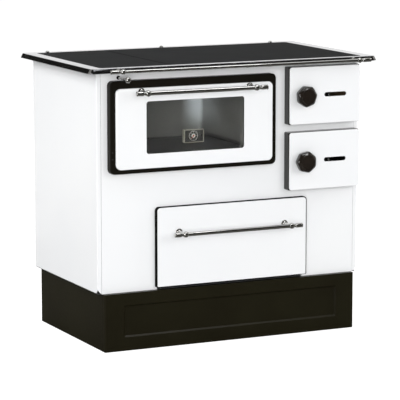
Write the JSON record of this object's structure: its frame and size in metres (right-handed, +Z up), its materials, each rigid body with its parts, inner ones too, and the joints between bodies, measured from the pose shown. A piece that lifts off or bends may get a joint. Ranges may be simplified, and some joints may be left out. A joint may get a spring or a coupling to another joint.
{
  "type": "wood cookstove",
  "caption": "White enamelled wood-burning kitchen stove with steel hot plates, windowed drop-down oven door, firebox and ash doors with air slides, wood drawer and dark plinth.",
  "frame": {"origin": "on the floor under the middle of the outline", "axes": "+X to the right seen from the front, +Y to the back, +Z up"},
  "size_m": [0.956, 0.6399, 0.8565],
  "materials": {
    "white_enamel": "glossy white vitreous enamel on sheet steel",
    "dark_enamel": "glossy very dark brown enamel",
    "black_casting": "satin black enamelled iron",
    "plate_steel": "ground and blued dark grey plate",
    "bright_steel": "polished stainless rim",
    "chrome": "bright chrome plate",
    "bakelite": "moulded dark brown heat-proof resin",
    "cast_iron": "raw sand-cast iron",
    "zinc_sheet": "zinc-coated sheet steel",
    "oven_enamel": "speckled grey oven enamel",
    "firebrick": "fired clay brick",
    "door_glass": "clear heat-proof glass",
    "needle_red": "red paint"
  },
  "bodies": {
    "stove_body": {"plinth_front": "dark_enamel", "plinth_skirt": "dark_enamel", "base_plate": "zinc_sheet", "back_panel": "zinc_sheet", "ash_pan": "zinc_sheet", "drawer_runner_left": "zinc_sheet", "drawer_runner_right": "zinc_sheet", "side_panel_left": "white_enamel", "side_panel_right": "white_enamel", "front_panel": "white_enamel", "flue_collar": "black_casting", "cooktop_frame": "bright_steel", "hotplate_left": "plate_steel", "hotplate_right": "plate_steel", "cap_nut_left": "chrome", "cap_nut_centre": "chrome", "cap_nut_right": "chrome", "towel_rail_bar": "chrome", "towel_rail_post_left": "chrome", "towel_rail_post_right": "chrome", "thermometer_case": "chrome", "damper_rosette": "chrome", "firebox_shell": "cast_iron", "grate_frame": "cast_iron", "fire_grate": "cast_iron", "oven_hinge_left": "cast_iron", "oven_hinge_right": "cast_iron", "firebox_hinge": "cast_iron", "ash_hinge": "cast_iron", "firebrick_left": "firebrick", "firebrick_right": "firebrick", "firebrick_back": "firebrick", "oven_box": "oven_enamel", "oven_flange": "oven_enamel", "oven_floor_plate": "oven_enamel"},
    "oven_door": {"oven_door_casting": "black_casting", "oven_door_cover": "white_enamel", "oven_door_liner": "oven_enamel", "oven_door_glass": "door_glass", "oven_handle_bar": "chrome", "oven_handle_post_left": "chrome", "oven_handle_post_right": "chrome"},
    "firebox_door": {"firebox_door_casting": "black_casting", "firebox_door_cover": "white_enamel"},
    "firebox_latch_knob": {"firebox_knob": "bakelite", "firebox_latch": "cast_iron"},
    "firebox_air_control": {"firebox_air_slide": "zinc_sheet"},
    "ash_door": {"ash_door_casting": "black_casting", "ash_door_cover": "white_enamel"},
    "ash_latch_knob": {"ash_knob": "bakelite", "ash_latch": "cast_iron"},
    "ash_air_control": {"ash_air_slide": "zinc_sheet"},
    "drawer": {"drawer_tray": "dark_enamel", "drawer_cover": "white_enamel", "drawer_box": "zinc_sheet", "drawer_handle_bar": "chrome", "drawer_handle_post_left": "chrome", "drawer_handle_post_right": "chrome"},
    "damper": {"damper_rod": "chrome"},
    "gauge_needle": {"thermometer_needle": "needle_red"}
  },
  "joints": [
    {"name": "oven_door_hinge", "type": "hinge", "parent": "stove_body", "child": "oven_door", "pos_m": [-0.131, -0.236, 0.5385], "axis": [1, 0, 0], "range_deg": [0, 90]},
    {"name": "firebox_door_hinge", "type": "hinge", "parent": "stove_body", "child": "firebox_door", "pos_m": [0.418, -0.2325, 0.73755], "axis": [0, 0, 1], "range_deg": [0, 95]},
    {"name": "firebox_knob_turn", "type": "hinge", "parent": "firebox_door", "child": "firebox_latch_knob", "pos_m": [0.23, -0.246, 0.73755], "axis": [0, 1, 0], "range_deg": [0, 90]},
    {"name": "firebox_air_slide_travel", "type": "slide", "parent": "firebox_door", "child": "firebox_air_control", "axis": [1, 0, 0], "range_m": [-0.006, 0.056]},
    {"name": "ash_door_hinge", "type": "hinge", "parent": "stove_body", "child": "ash_door", "pos_m": [0.418, -0.2325, 0.53745], "axis": [0, 0, 1], "range_deg": [0, 95]},
    {"name": "ash_knob_turn", "type": "hinge", "parent": "ash_door", "child": "ash_latch_knob", "pos_m": [0.23, -0.246, 0.53745], "axis": [0, 1, 0], "range_deg": [0, 90]},
    {"name": "ash_air_slide_travel", "type": "slide", "parent": "ash_door", "child": "ash_air_control", "axis": [1, 0, 0], "range_m": [-0.006, 0.056]},
    {"name": "drawer_travel", "type": "slide", "parent": "stove_body", "child": "drawer", "axis": [0, -1, 0], "range_m": [0, 0.38]},
    {"name": "damper_travel", "type": "slide", "parent": "stove_body", "child": "damper", "axis": [0, 1, 0], "range_m": [0, 0.04]},
    {"name": "thermometer_needle_turn", "type": "hinge", "parent": "stove_body", "child": "gauge_needle", "pos_m": [-0.008, 0.017, 0.5963], "axis": [0, 1, 0], "range_deg": [0, 270]}
  ]
}
